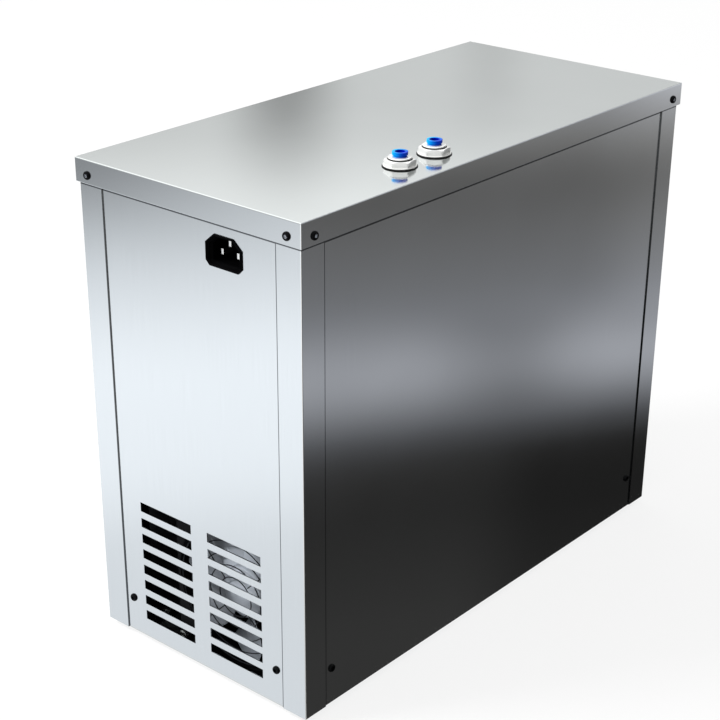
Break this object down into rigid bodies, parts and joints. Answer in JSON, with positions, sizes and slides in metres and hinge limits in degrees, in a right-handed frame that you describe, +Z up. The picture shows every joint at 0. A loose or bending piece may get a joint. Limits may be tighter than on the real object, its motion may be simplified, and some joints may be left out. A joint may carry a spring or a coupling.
{
  "type": "under-sink water chiller",
  "caption": "Boxy stainless cooler for under a sink: screwed casing, vented front with a mains inlet, push-fit water ports on the lid, cooling set and insulated tank inside.",
  "frame": {"origin": "on the floor below the middle of the casing, at the bottom of the rubber feet", "axes": "+Z up, -Y out of the vented front, +X to the side that carries the water ports"},
  "size_m": [0.2072, 0.4372, 0.375],
  "materials": {
    "stainless": "brushed stainless sheet, satin",
    "stainless_tank": "drawn stainless, smooth",
    "galvanised": "zinc-coated sheet, dull spangle",
    "dark_screw": "black oxide screw, satin",
    "zinc": "bright zinc plating",
    "black_steel": "black stoved paint, satin",
    "inlet_plastic": "black moulded nylon, fine texture",
    "black_plastic": "black moulded plastic, matte",
    "fan_plastic": "pale grey moulded plastic, satin",
    "rubber": "black rubber, matte",
    "nickel": "nickel-plated brass, polished",
    "blue_plastic": "blue acetal, glossy",
    "white_tube": "white polyethylene tube, satin",
    "white_plastic": "white acetal, glossy",
    "copper": "drawn copper tube, slightly dulled",
    "aluminium": "thin rolled aluminium fins",
    "foam": "rigid polyurethane foam, skinned",
    "winding": "laminated steel and varnished copper winding",
    "cable": "black flexible cable sheath, satin",
    "steel": "ground steel"
  },
  "bodies": {
    "chassis": {"base_tray": "galvanised", "front_left_post": "stainless", "front_right_post": "stainless", "rear_left_post": "stainless", "rear_right_post": "stainless", "front_panel": "stainless", "rear_panel": "stainless", "left_panel": "stainless", "right_panel": "stainless", "lid": "stainless", "casing_screws": "dark_screw", "feet": "rubber", "foot_bolts": "zinc", "inlet_body": "inlet_plastic", "inlet_pins": "nickel", "inlet_fitting": "nickel", "outlet_fitting": "nickel", "fitting_gaskets": "rubber", "fitting_nuts": "nickel", "fitting_orings": "rubber", "grab_rings": "stainless_tank", "tank": "stainless_tank", "foam_lower": "foam", "foam_upper": "foam", "evaporator_coil": "copper", "tank_stand": "galvanised", "tank_straps": "galvanised", "chassis_screws": "zinc", "inlet_tube": "white_tube", "outlet_tube": "white_tube", "tank_unions": "white_plastic", "compressor_shell_lower": "black_steel", "compressor_shell_upper": "black_steel", "compressor_plate": "black_steel", "compressor_grommets": "rubber", "terminal_cover": "black_plastic", "motor_stator": "winding", "pump_cylinder": "steel", "condenser_fins": "aluminium", "condenser_tube": "copper", "condenser_end_plates": "galvanised", "fan_shroud": "black_steel", "fan_frame": "black_plastic", "fan_guard": "zinc", "fan_stator": "winding", "filter_drier": "copper", "capillary_tube": "copper", "suction_line": "copper", "discharge_line": "copper", "liquid_line": "copper", "wiring": "cable", "thermostat_body": "white_plastic", "thermostat_nut": "zinc", "thermostat_sensor": "copper"},
    "inlet_collet": {"inlet_collet": "blue_plastic"},
    "outlet_collet": {"outlet_collet": "blue_plastic"},
    "fan_rotor": {"fan_rotor": "fan_plastic"},
    "motor_rotor": {"motor_rotor": "steel"},
    "thermostat_spindle": {"thermostat_spindle": "steel"}
  },
  "joints": [
    {"name": "inlet_collet_push", "type": "slide", "parent": "chassis", "child": "inlet_collet", "axis": [0, 0, -1], "range_m": [0, 0.001], "stiffness_N_per_m": 400, "springref_m": -0.0005},
    {"name": "outlet_collet_push", "type": "slide", "parent": "chassis", "child": "outlet_collet", "axis": [0, 0, -1], "range_m": [0, 0.001], "stiffness_N_per_m": 400, "springref_m": -0.0005},
    {"name": "fan_spin", "type": "hinge", "parent": "chassis", "child": "fan_rotor", "pos_m": [0.028, -0.1925, 0.0712], "axis": [0, -1, 0], "continuous": true},
    {"name": "motor_spin", "type": "hinge", "parent": "chassis", "child": "motor_rotor", "pos_m": [0, 0.1017, 0.0812], "axis": [0, 0, 1], "continuous": true},
    {"name": "thermostat_turn", "type": "hinge", "parent": "chassis", "child": "thermostat_spindle", "pos_m": [-0.06, 0.213, 0.145], "axis": [0, 1, 0], "range_deg": [-135, 135]}
  ]
}
